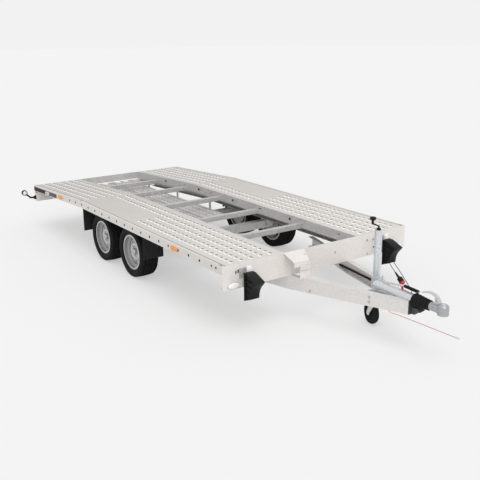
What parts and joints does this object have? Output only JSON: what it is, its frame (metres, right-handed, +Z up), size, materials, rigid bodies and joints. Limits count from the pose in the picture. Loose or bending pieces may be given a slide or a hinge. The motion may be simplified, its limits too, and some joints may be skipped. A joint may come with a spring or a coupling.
{
  "type": "car transporter trailer",
  "caption": "Tandem axle car transporter trailer with two tread decks, an open centre with crossmembers, ramps stowed below, a V drawbar and a jockey wheel.",
  "frame": {"origin": "on the ground, under the middle of the trailer's length and width", "axes": "+X forward to the coupling, +Y to the left side, +Z up"},
  "size_m": [5.75, 2.4478, 0.9431],
  "materials": {
    "amber_lens": "amber lens",
    "black_paint": "black painted steel",
    "black_plastic": "black moulded plastic",
    "black_rubber": "matt black rubber",
    "cast_dark": "dark cast metal",
    "clear_lens": "clear lens",
    "deck_aluminium": "bare pressed aluminium with dimples",
    "galvanised": "hot dip galvanised steel",
    "red_cord": "red plastic coated cable",
    "red_lens": "red lens",
    "red_plastic": "red plastic",
    "tyre": "black ribbed tyre rubber",
    "wheel_steel": "silver painted steel disc",
    "zinc_steel": "zinc plated steel"
  },
  "bodies": {
    "chassis": {"axle_front": "galvanised", "axle_rear": "galvanised", "bellows": "black_rubber", "brake_conduit": "cast_dark", "breakaway_cable": "red_cord", "breakaway_hook": "zinc_steel", "chock_brackets": "galvanised", "coupling_head": "zinc_steel", "coupling_lever": "zinc_steel", "crossmembers": "galvanised", "deck_end": "galvanised", "deck_left": "deck_aluminium", "deck_right": "deck_aluminium", "drawbar_legs": "galvanised", "end_plate": "black_paint", "front_beam": "galvanised", "front_bracket": "zinc_steel", "front_lamps": "clear_lens", "handbrake_grip": "black_plastic", "handbrake_lever": "zinc_steel", "inner_beams": "galvanised", "jockey_clamp": "cast_dark", "jockey_crank": "zinc_steel", "jockey_tube": "galvanised", "main_beams": "galvanised", "mudflaps": "black_plastic", "outline_lamps": "black_rubber", "overrun_housing": "zinc_steel", "plug": "black_plastic", "plug_cable": "black_rubber", "plug_holder": "red_plastic", "ramp_hangers": "galvanised", "rear_beam": "galvanised", "rear_lamps": "red_lens", "side_markers": "amber_lens", "side_rail_left": "galvanised", "side_rail_right": "galvanised", "wheel_chocks": "black_plastic"},
    "wheel_front_right_body": {"drum_front_right": "cast_dark", "tyre_front_right": "tyre", "wheel_front_right": "wheel_steel"},
    "wheel_front_left_body": {"drum_front_left": "cast_dark", "tyre_front_left": "tyre", "wheel_front_left": "wheel_steel"},
    "wheel_rear_right_body": {"drum_rear_right": "cast_dark", "tyre_rear_right": "tyre", "wheel_rear_right": "wheel_steel"},
    "wheel_rear_left_body": {"drum_rear_left": "cast_dark", "tyre_rear_left": "tyre", "wheel_rear_left": "wheel_steel"},
    "jockey_stem_body": {"jockey_stem": "zinc_steel"},
    "jockey_fork_body": {"jockey_fork": "galvanised"},
    "jockey_wheel_body": {"jockey_wheel": "black_rubber"},
    "ramp_right_body": {"ramp_right": "deck_aluminium"},
    "ramp_left_body": {"ramp_left": "deck_aluminium"}
  },
  "joints": [
    {"name": "wheel_front_right_spin", "type": "hinge", "parent": "chassis", "child": "wheel_front_right_body", "pos_m": [-0.325, -0.8875, 0.262], "axis": [0, 1, 0], "continuous": true},
    {"name": "wheel_front_left_spin", "type": "hinge", "parent": "chassis", "child": "wheel_front_left_body", "pos_m": [-0.325, 0.8875, 0.262], "axis": [0, 1, 0], "continuous": true},
    {"name": "wheel_rear_right_spin", "type": "hinge", "parent": "chassis", "child": "wheel_rear_right_body", "pos_m": [-1.005, -0.8875, 0.262], "axis": [0, 1, 0], "continuous": true},
    {"name": "wheel_rear_left_spin", "type": "hinge", "parent": "chassis", "child": "wheel_rear_left_body", "pos_m": [-1.005, 0.8875, 0.262], "axis": [0, 1, 0], "continuous": true},
    {"name": "jockey_lift", "type": "slide", "parent": "chassis", "child": "jockey_stem_body", "axis": [0, 0, 1], "range_m": [-0.2, 0.06]},
    {"name": "jockey_swivel", "type": "hinge", "parent": "jockey_stem_body", "child": "jockey_fork_body", "pos_m": [2.033, 0.118, 0.222], "axis": [0, 0, 1], "continuous": true},
    {"name": "jockey_wheel_spin", "type": "hinge", "parent": "jockey_fork_body", "child": "jockey_wheel_body", "pos_m": [1.97594, 0.13654, 0.1], "axis": [0.309, 0.9511, 0], "continuous": true},
    {"name": "ramp_right_slide", "type": "slide", "parent": "chassis", "child": "ramp_right_body", "axis": [-1, 0, 0], "range_m": [0, 1.85]},
    {"name": "ramp_left_slide", "type": "slide", "parent": "chassis", "child": "ramp_left_body", "axis": [-1, 0, 0], "range_m": [0, 1.85]}
  ]
}
